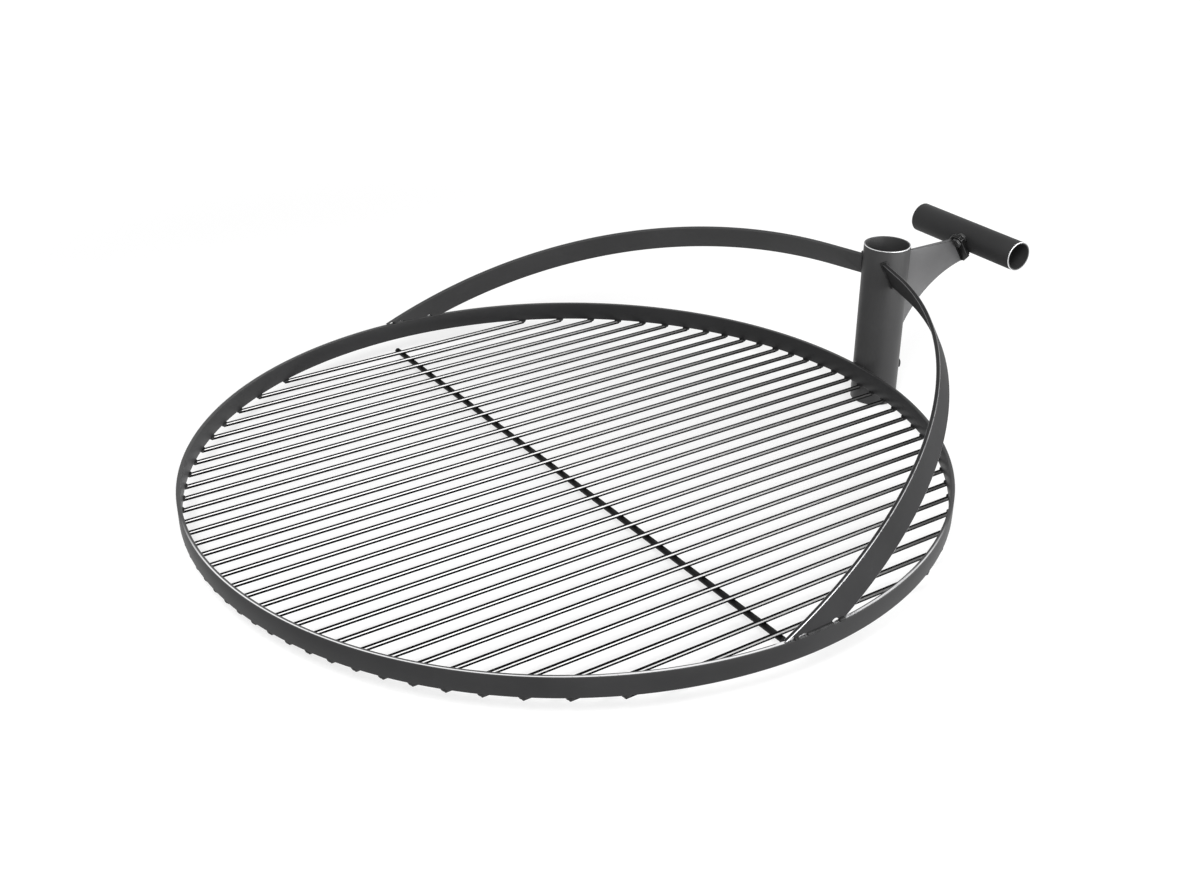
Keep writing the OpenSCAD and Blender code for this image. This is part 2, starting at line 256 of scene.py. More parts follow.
# %% A socket that can be used in a formula
class Signal:
    def __init__(self, socket):
        self.socket = socket
        self.tree = socket.id_data

    def math(self, operation, *terms):
        return add_node(self.tree, "ShaderNodeMath", {"operation": operation}, inputs=terms)

    def __add__(self, other):
        return self.math("ADD", self, other)

    def __sub__(self, other):
        return self.math("SUBTRACT", self, other)

    def __rsub__(self, other):
        return self.math("SUBTRACT", other, self)

    def __mul__(self, other):
        return self.math("MULTIPLY", self, other)

    def __pow__(self, other):
        return self.math("POWER", self, other)

    __radd__ = __add__
    __rmul__ = __mul__

    def most(self, other):
        return self.math("MAXIMUM", self, other)

    def step(self, low, high):
        """0 below low, 1 above high, and a smooth change between them."""
        return add_node(self.tree, "ShaderNodeMapRange", {"interpolation_type": "SMOOTHSTEP"},
                        Value=self, From_Min=low, From_Max=high)

    def between(self, low, full, fading, gone):
        """1 from full to fading, 0 below low and above gone, and smooth in between."""
        return self.step(low, full) * (1 - self.step(fading, gone))


def connect(tree, slot, value):
    """Links a signal to a socket, or sets the socket to a plain value."""
    if isinstance(value, Signal):
        tree.links.new(value.socket, slot)
    elif isinstance(value, tuple) and len(value) == 3 and slot.type == "RGBA":
        slot.default_value = (*value, 1)
    else:
        slot.default_value = value


def add_node(tree, kind, settings=None, out=0, inputs=(), **sockets):
    """Adds a node: its settings first, then its sockets, in their order or by their names."""
    node = tree.nodes.new(kind)
    for key, value in (settings or {}).items():
        setattr(node, key, value)
    for slot, value in zip(node.inputs, inputs):
        connect(tree, slot, value)
    for key, value in sockets.items():
        slot = next(s for s in node.inputs if s.enabled and s.name == key.replace("_", " "))
        connect(tree, slot, value)
    return Signal(node.outputs[out]) if node.outputs else None


print("sockets can be used in formulas")


# %% A finish, which is a material with its nodes
class Finish:
    def __init__(self, name):
        self.material = bpy.data.materials.new(name)
        self.material.use_nodes = True
        self.tree = self.material.node_tree
        self.tree.nodes.clear()
        self.coordinates = self.node("ShaderNodeTexCoord", out="Object")

    def node(self, kind, settings=None, out=0, inputs=(), **sockets):
        return add_node(self.tree, kind, settings, out, inputs, **sockets)

    def stretched(self, along):
        """Object coordinates, squeezed so that a pattern runs long where the share is low."""
        return self.node("ShaderNodeMapping", Vector=self.coordinates, Scale=along)

    def noise(self, scale, detail=3.0, roughness=0.55, where=None):
        return self.node("ShaderNodeTexNoise", Vector=where or self.coordinates, Scale=scale,
                         Detail=detail, Roughness=roughness)

    def axis(self, name):
        return self.node("ShaderNodeSeparateXYZ", out=name, Vector=self.coordinates)

    def mix(self, mask, low, high):
        return self.node("ShaderNodeMix", {"data_type": "RGBA"}, out=2, Factor=mask, A=low, B=high)

    def bump(self, height, depth):
        return self.node("ShaderNodeBump", Height=height, Distance=depth, Strength=1.0)

    def steel(self, **sockets):
        """Ends the tree in a Principled shader."""
        self.end(self.node("ShaderNodeBsdfPrincipled", **sockets))

    def end(self, surface):
        self.node("ShaderNodeOutputMaterial", Surface=surface)


print("finishes can be mixed")

# %% [markdown]
# ## Finishes
# The steel has a heat-proof charcoal coating: satin, nearly black, with a fine orange peel and a
# few paler rubbed patches. It is never one flat colour, so two noises move its colour and its
# roughness a little, and two finer ones raise the orange peel. The arms, the handle, the sleeve
# and the gusset get copies of it with their own greys, which are painted light: each grey copies
# how much light falls on that part, so the gusset's is far paler and the sleeve's and the left
# arm's a little paler. A low specular level keeps the darkest faces from mirroring the white
# room. One plain grey would be quicker, but it makes steel look like plastic.

# %% Charcoal coating
def charcoal(name, dark, pale, rough, shine, rub=0.25):
    """A coat between two greys; rub says how far the patches go towards the paler one."""
    coat = Finish(name)
    cloud = coat.noise(9.0, detail=4.0)
    grain = coat.noise(1400.0, detail=2.0)
    rubbed = coat.noise(60.0, detail=6.0, roughness=0.7).step(0.56, 0.74) * rub
    shade = coat.mix(cloud.step(0.3, 0.7) * 0.7 + rubbed, dark, pale)
    coat.steel(Base_Color=shade, Roughness=cloud * 0.10 + (rough - 0.05) - rubbed * 0.1,
               Specular_IOR_Level=shine,
               Normal=coat.bump(grain * 0.6 + coat.noise(300.0) * 0.4, 0.06 * MM))
    return coat.material


# Painted light: the arms, the handle, the sleeve and the gusset wear copies of one coat, greyed up
# or down as the light on each part falls.
charcoal_coat = charcoal("charcoal_coat", (0.016, 0.016, 0.0165), (0.027, 0.027, 0.028),
                         rough=0.48, shine=0.25)
arm_coat_painted_light = charcoal("arm_coat_painted_light", (0.027, 0.027, 0.0275), (0.039, 0.039, 0.040),
                    rough=0.62, shine=0.04)
grip_coat_painted_light = charcoal("grip_coat_painted_light", (0.024, 0.024, 0.0245), (0.034, 0.034, 0.035),
                     rough=0.58, shine=0.16)
sleeve_coat_painted_light = charcoal("sleeve_coat_painted_light", (0.033, 0.033, 0.0335), (0.048, 0.048, 0.049),
                       rough=0.46, shine=0.3)
plate_coat_painted_light = charcoal("plate_coat_painted_light", (0.11, 0.11, 0.112), (0.17, 0.17, 0.172),
                      rough=0.5, shine=0.3)
black_bar = charcoal("black_bar", (0.004, 0.004, 0.004), (0.010, 0.010, 0.010),
                     rough=0.5, shine=0.15, rub=0.1)
print("coats:", [coat.name for coat in (charcoal_coat, arm_coat_painted_light, grip_coat_painted_light, sleeve_coat_painted_light,
                                        plate_coat_painted_light, black_bar)])

# %% [markdown]
# Where two faces of flat bar meet, handling has rubbed the coating thin. The bevels get this
# finish as their own material, and a noise breaks the line up. In a few places the coating is
# gone and bare steel shines: a thin line on the ring's top along the side that faces the camera,
# broader by the right arm, which is wear and a painted highlight both; the ring's top under the
# slots of the right arm's foot, painted bright where the foot shades it; the ring's lower corner
# near that arm, a painted highlight; the edges of the arm's lower half; and the saw-cut ends of
# the two tubes, whose bare part on the sleeve is laid only on the camera's side, as a painted
# highlight. These could be painted into a picture, but a mask that is worked out from the place
# on the object stays sharp from near and far. So each is the same finish with its own mask.

# %% Worn coating
COAT_GREY = (0.022, 0.022, 0.0225)


def worn(name, bare, where=None, low=0.24, high=0.40):
    """A coat with bare bites, which a noise sets between low and high, inside a mask."""
    edge = Finish(name)
    bite = edge.noise(160.0, detail=5.0, roughness=0.65).step(low, high)
    if where:
        bite = bite * where(edge)
    edge.steel(Base_Color=edge.mix(bite, COAT_GREY, bare), Metallic=bite,
               Roughness=0.46 - bite * 0.14,
               Normal=edge.bump(edge.noise(900.0), 0.05 * MM))
    return edge.material


worn_edge = worn("worn_edge", (0.09, 0.09, 0.092), low=0.36, high=0.52)
print(worn_edge.name)

# %% Masks of the bare places
HANDLE, ARM_FOOT_Y = Vector((0, 121 * MM, 166 * MM)), 9 * MM
# The camera's direction over the ground; where one stands is the camera's place, and bare marks
# laid towards it are painted highlights.
CAMERA_WAY_X, CAMERA_WAY_Y = 0.846, -0.533  # over the ground, from the grate to where one stands
FOOT_NEAR, FOOT_FAR = 0.0014, 0.0016  # squares of the distance from the foot's middle


def reach(a, b):
    """The distance from an axis, out of the two coordinates across it."""
    return (a * a + b * b) ** 0.5


def toward_camera(x, y):
    return x * CAMERA_WAY_X + y * CAMERA_WAY_Y


def camera_right(x, y):
    """Across the view, to the camera's right."""
    return y * CAMERA_WAY_X - x * CAMERA_WAY_Y


def ring_line_and_highlight(edge):
    """Bare top: wear and a painted highlight on the camera's side, broader by the right arm, and
    painted light under the right foot's slots.
    """
    x, y = edge.axis("X"), edge.axis("Y") - GRATE.y
    out = reach(x, y)
    # Painted highlight on top of the wear: the line lies only on the part of the ring that faces
    # the camera.
    line = out.between(372.9 * MM, 373.3 * MM, 374.3 * MM, 374.6 * MM)
    line = line * toward_camera(x, y).step(130 * MM, 230 * MM)
    broad = out.between(372.1 * MM, 372.7 * MM, 374.4 * MM, 374.7 * MM)
    broad = broad * x.step(310 * MM, 345 * MM) * (1 - y.step(110 * MM, 160 * MM))
    off_foot = (y - ARM_FOOT_Y) * (y - ARM_FOOT_Y)
    # Painted light: under the slots of the right arm's foot the ring's top is painted bright,
    # where the foot shades it.
    slots = x.step(300 * MM, 310 * MM) * (1 - off_foot.step(FOOT_NEAR, FOOT_FAR))
    slots = slots * (1 - out.step(373.3 * MM, 373.6 * MM))
    return line.most(slots).most(broad)


def low_corner_highlight(edge):
    """The lower outer corner of the ring, near the right arm, as a painted highlight."""
    x, y = edge.axis("X"), edge.axis("Y") - GRATE.y
    low = 1 - edge.axis("Z").step(24.8 * MM, 25.6 * MM)
    return (low * reach(x, y).step(373 * MM, 373.5 * MM)
            * camera_right(x, y).step(60 * MM, 160 * MM))


def low_right(edge):
    """The right arm, and mostly its lower half."""
    high = edge.axis("Z").step(60 * MM, 150 * MM)
    return edge.axis("X").step(0.0, 10 * MM) * (1 - high * 0.85)


def sleeve_lip_and_highlight(edge):
    """The outer part of the sleeve's upper end, bare steel laid only on the camera's side, which
    makes it a painted highlight as well.
    """
    x, y = edge.axis("X"), edge.axis("Y")
    lip = reach(x, y).step(23.8 * MM, 24.2 * MM) * edge.axis("Z").step(170 * MM, 175 * MM)
    return lip * toward_camera(x, y).step(-12 * MM, 10 * MM)


def grip_lip(edge):
    """The outer part of the handle's ends, brightest towards the grate and below."""
    y, z = edge.axis("Y") - HANDLE.y, edge.axis("Z") - HANDLE.z
    lip = reach(y, z).step(15.0 * MM, 15.4 * MM)
    return lip * (1 - (y * 0.8 + z * 0.3).step(2 * MM, 13 * MM) * 0.75)


ring_top = worn("ring_top", (0.86, 0.86, 0.87), ring_line_and_highlight)
ring_corner_highlight = worn("ring_corner_highlight", (0.40, 0.40, 0.41), low_corner_highlight)
arm_edge = worn("arm_edge", (0.6, 0.6, 0.61), low_right, low=0.30, high=0.46)
sleeve_rim = worn("sleeve_rim", (0.8, 0.8, 0.81), sleeve_lip_and_highlight)
grip_rim = worn("grip_rim", (0.88, 0.88, 0.89), grip_lip, low=0.15, high=0.25)
print("worn:", [edge.name for edge in (ring_top, ring_corner_highlight, arm_edge, sleeve_rim, grip_rim)])

# %% [markdown]
# The rods are drawn stainless wire. Their colour holds a painted highlight along the side that
# leans up towards +X, and painted shade on the flanks and the belly. The object's own normal
# tells the two apart, so the pattern stays on the rod from every side. The painted highlight is
# matt, so it is only part metal here: a mirror this narrow would break up into dots. Towards the
# handle's side of the grate it grows broader and dull, a painted reflection of the dark parts
# there.

# %% Rod finish
ROD_TURN, HIGHLIGHT_LEAN = math.radians(1.7), math.radians(36)
PAINTED_SHADE, PAINTED_HIGHLIGHT, PAINTED_DARK_REFLECTION = (0.006, 0.006, 0.006), (0.94, 0.94, 0.94), (0.12, 0.12, 0.12)


def rod_finish():
    wire = Finish("rod_painted_highlight")
    facing = wire.node("ShaderNodeNewGeometry", out="Normal")
    highlight_way = (Matrix.Rotation(ROD_TURN, 3, "Z")
               @ Vector((math.cos(HIGHLIGHT_LEAN), 0, math.sin(HIGHLIGHT_LEAN))))
    lit = wire.node("ShaderNodeVectorMath", {"operation": "DOT_PRODUCT"}, out=1,
                    inputs=(facing, highlight_way))
    streak = wire.noise(240.0, where=wire.stretched((1.0, 0.03, 1.0)))
    far = (wire.axis("Y") - GRATE.y).step(-120 * MM, 330 * MM)
    # Painted highlight where the normal meets the leaning way, painted shade elsewhere, and on the
    # handle's side a broader, dull band that is a painted reflection.
    narrow, broad = lit.step(0.952, 0.997), lit.step(0.86, 0.98)
    highlight_band = narrow + (broad - narrow) * far
    wire.steel(Base_Color=wire.mix(highlight_band, PAINTED_SHADE, wire.mix(far, PAINTED_HIGHLIGHT, PAINTED_DARK_REFLECTION)),
               Metallic=highlight_band * 0.4, Roughness=streak * 0.1 + 0.5, Specular_IOR_Level=0.02)
    return wire.material


rod_painted_highlight = rod_finish()
print(rod_painted_highlight.name)


# %% [markdown]
# Welds are left as they were laid: rough with fine spatter, and blackened by heat. Bolt, nut
# and screw come blackened, and a spanner has rubbed them paler in patches. Both are mixed like
# the coating, with other noises.

# %% Weld and fastener finishes
def weld_finish():
    seam = Finish("weld_seam")
    spatter = seam.noise(700.0, detail=5.0, roughness=0.7)
    seam.steel(Base_Color=seam.mix(seam.noise(120.0).step(0.35, 0.7), (0.008, 0.008, 0.008),
                                   (0.026, 0.026, 0.027)),
               Roughness=spatter * 0.2 + 0.42, Specular_IOR_Level=0.25,
               Normal=seam.bump(spatter, 0.2 * MM))
    return seam.material


def bolt_finish():
    bolt = Finish("blackened_bolt")
    rub = bolt.noise(420.0, detail=4.0, roughness=0.6).step(0.42, 0.66)
    bolt.steel(Base_Color=bolt.mix(rub, (0.010, 0.010, 0.0105), (0.06, 0.06, 0.06)),
               Metallic=rub * 0.7, Roughness=0.42 - rub * 0.1,
               Normal=bolt.bump(bolt.noise(1500.0), 0.03 * MM))
    return bolt.material


weld_seam, blackened_bolt = weld_finish(), bolt_finish()
print(weld_seam.name, blackened_bolt.name)

# %% [markdown]
# Each finished piece then needs its finishes, the body that it moves with, and the CAD node that
# it stands for. These could be written out for every piece, but with one function none of them
# is forgotten.

# %% Dress a piece
def dress(piece, materials, slot, *nodes, body="grate"):
    """Gives a piece its materials and its body, and hides the CAD nodes that it stands for."""
    for number, material in enumerate(materials):
        if number < len(piece.material_slots):
            piece.material_slots[number].material = material
        else:
            piece.data.materials.append(material)
    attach(piece, body)
    if nodes:
        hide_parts(*nodes)
    measure(piece)


def empty_slots(piece, count):
    """Makes room for the finishes, so that a bevel can already name one by its number."""
    piece.data.materials.clear()
    for number in range(count):
        piece.data.materials.append(None)


# %% [markdown]
# ## The ring
# Real rings like this are flat bar rolled the easy way and butt welded. A cylinder with a hole
# cut in it would do, but a boolean leaves long thin faces on the rims. Here a circle of points
# extruded upwards gives the band, Solidify gives it the bar's thickness inwards, and a bevel
# rounds the four long edges. The top face and the bevels get the worn finishes, which carry
# painted highlights as well as wear.

# %% Ring
BAR_EDGE = 0.55 * MM


def make_ring():
    clear_selection()
    bpy.ops.mesh.primitive_circle_add(vertices=288, radius=RING_R,
                                      location=(0, GRATE.y, RING_LIFT))
    ring = new_piece("ring_band")
    place(ring)
    edit_all()
    bpy.ops.mesh.extrude_region_move(TRANSFORM_OT_translate={"value": (0, 0, RING_H)})
    edit_all()
    bpy.ops.mesh.normals_make_consistent(inside=False)
    close_edit()
    finish_with(ring, "SOLIDIFY", thickness=RING_T, offset=-1.0)
    empty_slots(ring, 3)
    round_edges(ring, BAR_EDGE, material=1)
    for face in ring.data.polygons:
        if face.normal.z > 0.99 and face.center.z > RING_TOP - 0.1 * MM:
            face.material_index = 2
    smooth(ring)
    return ring


ring_band = make_ring()
dress(ring_band, (charcoal_coat, ring_corner_highlight, ring_top), "charcoal_steel", "rim_ring")

# %% [markdown]
# ## The arms
# An arm is flat bar rolled to one long bend, with a short straight at the sleeve. Its plane
# leans in over the grate. The bend's radius follows from its two ends: the foot's place on the
# ring and the heading it starts with, and the point on the sleeve that the straight aims at.
#
# A curve with a bevel could follow the bend, but its section may twist on a leaning path. So
# the section is drawn once with rounded corners and spun round the bend's centre, and the
# straight is an extrusion of the same section. Then the foot is cut level with a bisect, and
# the end is coped to the sleeve with a boolean cut. Light shows through three low slots under
# the foot, between the weld beads; a flattened cylinder cuts each one. The left arm is the
# right one mirrored.

# %% Sizes of an arm, as in the CAD
ARM_W, ARM_T, ARM_STRAIGHT = 28 * MM, 4 * MM, 62 * MM
ARM_FOOT_IN, FOOT_GAP = 1.5 * MM, 1 * MM
ARM_HEADING, ARM_LEAN, ARM_FLARE = (math.radians(v) for v in (7.8, 10.6, 2.0))
ARM_DROP, ARM_AIM = 26.4 * MM, 5.9 * MM
FOOT_R = RING_R - RING_T / 2 - ARM_FOOT_IN
arm_from = Vector((math.sqrt(FOOT_R ** 2 - ARM_FOOT_Y ** 2), ARM_FOOT_Y + GRATE.y, RING_TOP))
arm_run = Vector((0, -ARM_AIM, SLEEVE_LEN - ARM_DROP)) - arm_from
arm_tilt = (math.atan2(arm_run.z, arm_run.y)
            + math.asin(math.tan(-ARM_LEAN) * arm_run.x / math.hypot(arm_run.y, arm_run.z)))
arm_plane = (Matrix.Translation(arm_from) @ Matrix.Rotation(arm_tilt, 4, "X")
             @ Matrix.Rotation(-ARM_LEAN, 4, "Y"))
flat_run = (arm_plane.to_3x3().transposed() @ arm_run).to_2d()
foot_way = Vector((math.cos(ARM_HEADING), math.sin(ARM_HEADING)))
ARM_R = (flat_run.length_squared - ARM_STRAIGHT ** 2) / (-2 * flat_run.dot(foot_way))
bend_centre = foot_way * -ARM_R
end_way = flat_run - bend_centre
ARM_END = math.atan2(end_way.y, end_way.x) - math.atan(ARM_STRAIGHT / ARM_R)
FOOT_HALF = ARM_W / 2 * math.cos(ARM_LEAN) / math.sin(arm_tilt)
foot_start = GRATE.y + ARM_FOOT_Y - FOOT_HALF
foot_back = (FOOT_HALF + 3 * ARM_T) / ARM_R
# Each slot: its start and end as shares of the foot's length, and its height.
OPEN_SLOTS = ((0.05, 0.17, 1.9 * MM), (0.21, 0.36, 1.3 * MM), (0.79, 0.91, 2.3 * MM))
bend_end = (arm_plane @ Matrix.Translation((bend_centre.x, bend_centre.y, 0))
            @ Matrix.Rotation(ARM_END, 4, "Z"))
print("bend %.1f mm, tilt %.2f deg" % (ARM_R / MM, math.degrees(arm_tilt)))


# %% Arm
def make_arm():
    clear_selection()
    bpy.ops.mesh.primitive_plane_add(size=1, location=(ARM_R, 0, 0),
                                     rotation=(math.pi / 2, ARM_FLARE, 0))
    arm = new_piece("arm_bar_right")
    arm.scale = (ARM_T, ARM_W, 1)
    place(arm)
    edit_all()
    bpy.ops.mesh.bevel(offset=BAR_EDGE, segments=3, affect="VERTICES")
    edit_all()
    bpy.ops.mesh.spin(steps=128, angle=ARM_END + foot_back - ARM_HEADING,
                      center=(0, 0, 0), axis=(0, 0, 1))
    select_faces(arm, lambda c, n: abs(n.y) > 0.99 and abs(c.y) < 0.01 * MM)
    bpy.ops.mesh.extrude_region_move(TRANSFORM_OT_translate={"value": (0, ARM_STRAIGHT, 0)})
    edit_all()
    bpy.ops.mesh.remove_doubles(threshold=0.001 * MM)
    bpy.ops.mesh.normals_make_consistent(inside=False)
    close_edit()
    empty_slots(arm, 2)
    corner = BAR_EDGE + 0.01 * MM
    for face in arm.data.polygons:
        x, y, z = face.center
        out = (math.hypot(x, y) if y < 0 else x) - ARM_R
        # u runs through the bar's thickness and v across its width.
        u = out * math.cos(ARM_FLARE) - z * math.sin(ARM_FLARE)
        v = out * math.sin(ARM_FLARE) + z * math.cos(ARM_FLARE)
        on_corner = abs(u) > ARM_T / 2 - corner and abs(v) > ARM_W / 2 - corner
        face.material_index = 1 if on_corner else 0
    place(arm, bend_end)
    slice_off((0, 0, RING_TOP + FOOT_GAP), (0, 0, 1))
    cut_with(arm, rod_cutter(SLEEVE_R + WELD_GAP, 250 * MM, HERE, 128))
    for start, end, tall in OPEN_SLOTS:
        middle, half = foot_start + (start + end) * FOOT_HALF, (end - start) * FOOT_HALF
        slot = (Matrix.Translation((350 * MM, middle, RING_TOP + FOOT_GAP))
                @ Matrix.Rotation(math.pi / 2, 4, "Y") @ Matrix.Diagonal((tall, half, 1, 1)))
        cut_with(arm, rod_cutter(1, 40 * MM, slot, 32))
    smooth(arm)
    return arm


arm_bar_right = make_arm()
arm_bar_left = mirrored(arm_bar_right, "arm_bar_left")
smooth(arm_bar_left)
dress(arm_bar_right, (arm_coat_painted_light, arm_edge), "charcoal_steel", "arm_right")
dress(arm_bar_left, (sleeve_coat_painted_light, arm_edge), "charcoal_steel", "arm_left")

# %% [markdown]
# ## The sleeve and the handle tube
# Both are cut lengths of round tube. Two cylinders and a boolean would give one, but an open
# cylinder with Solidify has an even wall and needs no cut. The saw-cut ends are bright where
# the coating is rubbed off; on the sleeve the bare part lies only on the camera's side, as a
# painted highlight.

# %% Tubes
def make_tube(name, radius, wall, length, matrix):
    clear_selection()
    bpy.ops.mesh.primitive_cylinder_add(vertices=128, radius=radius, depth=length,
                                        end_fill_type="NOTHING", location=(0, 0, length / 2))
    tube = new_piece(name)
    place(tube)
    finish_with(tube, "SOLIDIFY", thickness=wall, offset=-1.0)
    empty_slots(tube, 2)
    round_edges(tube, 0.35 * MM, material=1)
    for face in tube.data.polygons:
        if abs(face.normal.z) > 0.99:
            face.material_index = 1
    place(tube, matrix)
    return tube


LOCK_Z, SCREW_R, HOLE_FREE = 34.5 * MM, 4 * MM, 0.3 * MM
lock_way = Matrix.Translation((0, 0, LOCK_Z)) @ Matrix.Rotation(-math.pi / 2, 4, "X")
sleeve_tube = make_tube("sleeve_tube", SLEEVE_R, SLEEVE_WALL, SLEEVE_LEN, HERE)
cut_with(sleeve_tube, rod_cutter(SCREW_R + HOLE_FREE, 40 * MM, lock_way, 48))
smooth(sleeve_tube)
dress(sleeve_tube, (sleeve_coat_painted_light, sleeve_rim), "charcoal_steel", "post_sleeve")

HANDLE_R, HANDLE_WALL, HANDLE_LEN = 16 * MM, 2 * MM, 150 * MM
across = (Matrix.Translation(HANDLE - Vector((HANDLE_LEN / 2, 0, 0)))
          @ Matrix.Rotation(math.pi / 2, 4, "Y"))
grip_tube = make_tube("grip_tube", HANDLE_R, HANDLE_WALL, HANDLE_LEN, across)
smooth(grip_tube)
dress(grip_tube, (grip_coat_painted_light, grip_rim), "charcoal_steel", "handle_tube")

# %% [markdown]
# ## Gusset, flange and handle plate
# The gusset is a plate with a hollow lower edge. Its outline could be drawn point by point,
# but then a changed size would move only some of the points. So a slab is bisected along its
# top and along the flange's slope, as a saw would do, and a large cylinder cuts the hollow.
# The two small plates are slabs whose corners are bisected off, with one bolt hole each.

# %% Gusset
SLOPE = math.radians(32.4)
on_slope = Matrix.Translation(HANDLE) @ Matrix.Rotation(SLOPE - math.pi / 2, 4, "X")
FLANGE_T, PLATE_T = 3 * MM, 2 * MM
PLATE_FACE = HANDLE_R + WELD_GAP
FLANGE_FACE = PLATE_FACE + PLATE_T
GUSSET_FACE = FLANGE_FACE + FLANGE_T + WELD_GAP
GUSSET_T, GUSSET_TOP, GUSSET_R = 5 * MM, SLEEVE_LEN - 13.2 * MM, 118 * MM
GUSSET_END = 17 * MM
gusset_root = Vector((0, SLEEVE_R + WELD_GAP, 65 * MM))
gusset_tip = on_slope @ Vector((0, GUSSET_END, -GUSSET_FACE))
chord = gusset_tip - gusset_root
hollow = ((gusset_root + gusset_tip) / 2 + Vector((0, chord.z, -chord.y))
          * math.sqrt((GUSSET_R / chord.length) ** 2 - 0.25))


def make_gusset():
    clear_selection()
    bpy.ops.mesh.primitive_cube_add(size=1, location=(0, 75 * MM, 110 * MM))
    gusset = new_piece("gusset_plate")
    gusset.scale = (GUSSET_T, 150 * MM, 150 * MM)
    place(gusset)
    slice_off((0, 0, GUSSET_TOP), (0, 0, -1))
    slice_off(gusset_root, (0, 1, 0))
    slice_off(gusset_tip, on_slope.to_3x3() @ Vector((0, 0, -1)))
    drum = (Matrix.Translation(hollow - Vector((50 * MM, 0, 0)))
            @ Matrix.Rotation(math.pi / 2, 4, "Y"))
    cut_with(gusset, rod_cutter(GUSSET_R, 100 * MM, drum, 256))
    slice_off(gusset_root - Vector((0, 0, 0.2 * MM)), (0, 0, 1))
    empty_slots(gusset, 2)
    round_edges(gusset, 0.4 * MM, material=1)
    smooth(gusset)
    return gusset


gusset_plate = make_gusset()
dress(gusset_plate, (plate_coat_painted_light, worn_edge), "charcoal_steel", "handle_gusset")


# %% Flange and handle plate
BOLT_R, BOLT_FLATS, HEAD_H, NUT_H, BOLT_PAST = 3 * MM, 10 * MM, 4 * MM, 3.2 * MM, 1 * MM
HEAD_FREE, NUT_FREE, FLANGE_EDGE = 0.4 * MM, 0.9 * MM, 5.6 * MM
GUSSET_SIDE = GUSSET_T / 2 + WELD_GAP + 2 * MM
BOLT_X = GUSSET_SIDE + HEAD_FREE + BOLT_FLATS / 2
BOLT_UP = math.sqrt(HANDLE_R ** 2 - (PLATE_FACE - NUT_H) ** 2) + NUT_FREE + BOLT_FLATS / 2
FLANGE_LEFT, FLANGE_RIGHT = GUSSET_SIDE + HEAD_FREE, BOLT_X + FLANGE_EDGE
FLANGE_UP, FLANGE_DOWN = BOLT_UP + FLANGE_EDGE, 17.5 * MM
CORNER_LOW, CORNER_LEFT, CORNER_TOP = 10.5 * MM, 7.5 * MM, 3 * MM


def make_plate(name, near, thick, inside):
    """A plate on the slope, whose outline lies a given distance inside the flange's."""
    left, right = inside - FLANGE_LEFT, FLANGE_RIGHT - inside
    top, low = inside - FLANGE_UP, FLANGE_DOWN - inside
    clear_selection()
    bpy.ops.mesh.primitive_cube_add(size=1, location=((left + right) / 2, (top + low) / 2,
                                                      near - thick / 2))
    plate = new_piece(name)
    plate.scale = (right - left, low - top, thick)
    place(plate)
    for x, y, keep in ((right, low - CORNER_LOW, (-1, -1, 0)),
                       (left, low - CORNER_TOP, (1, -1, 0)),
                       (left, top + CORNER_LEFT, (1, 1, 0)),
                       (right, top + CORNER_TOP, (-1, 1, 0))):
        slice_off((x, y, near), keep)
    hole = Matrix.Translation((BOLT_X, -BOLT_UP, near - 10 * MM))
    cut_with(plate, rod_cutter(BOLT_R + HOLE_FREE, 20 * MM, hole, 40))
    empty_slots(plate, 2)
    round_edges(plate, 0.35 * MM, material=1)
    place(plate, on_slope)
    smooth(plate)
    return plate


flange_plate = make_plate("flange_plate", -FLANGE_FACE, FLANGE_T, 0)
grip_plate = make_plate("grip_plate", -PLATE_FACE, PLATE_T, 1 * MM)
# Painted shade: the flange and the handle plate get the near-black coat because they lie in the
# handle tube's shade.
dress(flange_plate, (black_bar, worn_edge), "charcoal_steel", "handle_flange")
dress(grip_plate, (black_bar, worn_edge), "charcoal_steel", "handle_plate")

# %% [markdown]
# ## Bolt, nut and lock screw
# A hexagon head is turned on its top, which leaves a round chamfer on its six corners. A bevel
# would cut them straight, so the block is intersected with a flat cone instead. The shank is a
# cylinder with a few thread crests near its end: it is sliced across, and every second ring of
# edges is scaled inwards. A real helix would not be seen at this size.

# %% Hexagons and threads
CHAMFER_STEEP, CHAMFER_START, CONE_WIDE = 0.62, 0.96, 1.6
THREAD_ROOT, THREAD_FREE = 0.88, 0.08 * MM


def make_hexagon(name, flats, height, hole=0.0):
    """A hexagon block with chamfered corners, standing on its local origin."""
    clear_selection()
    corner = flats / 2 / math.cos(math.pi / 6)
    bpy.ops.mesh.primitive_cylinder_add(vertices=6, radius=corner, depth=height,
                                        location=(0, 0, height / 2))
    block = new_piece(name)
    place(block)
    clear_selection()
    wide = corner * CONE_WIDE
    bpy.ops.mesh.primitive_cone_add(vertices=72, radius1=wide, depth=wide * CHAMFER_STEEP,
                                    location=(0, 0, wide * CHAMFER_STEEP / 2))
    cone = new_piece("chamfer_cone")
    drop = (wide - flats / 2 * CHAMFER_START) * CHAMFER_STEEP
    place(cone, Matrix.Translation((0, 0, height - drop)))
    finish_with(block, "BOOLEAN", object=cone, operation="INTERSECT", solver="EXACT")
    bpy.data.objects.remove(cone)
    if hole:
        cut_with(block, rod_cutter(hole, height * 2, Matrix.Translation((0, 0, -height / 2)), 40))
    return block


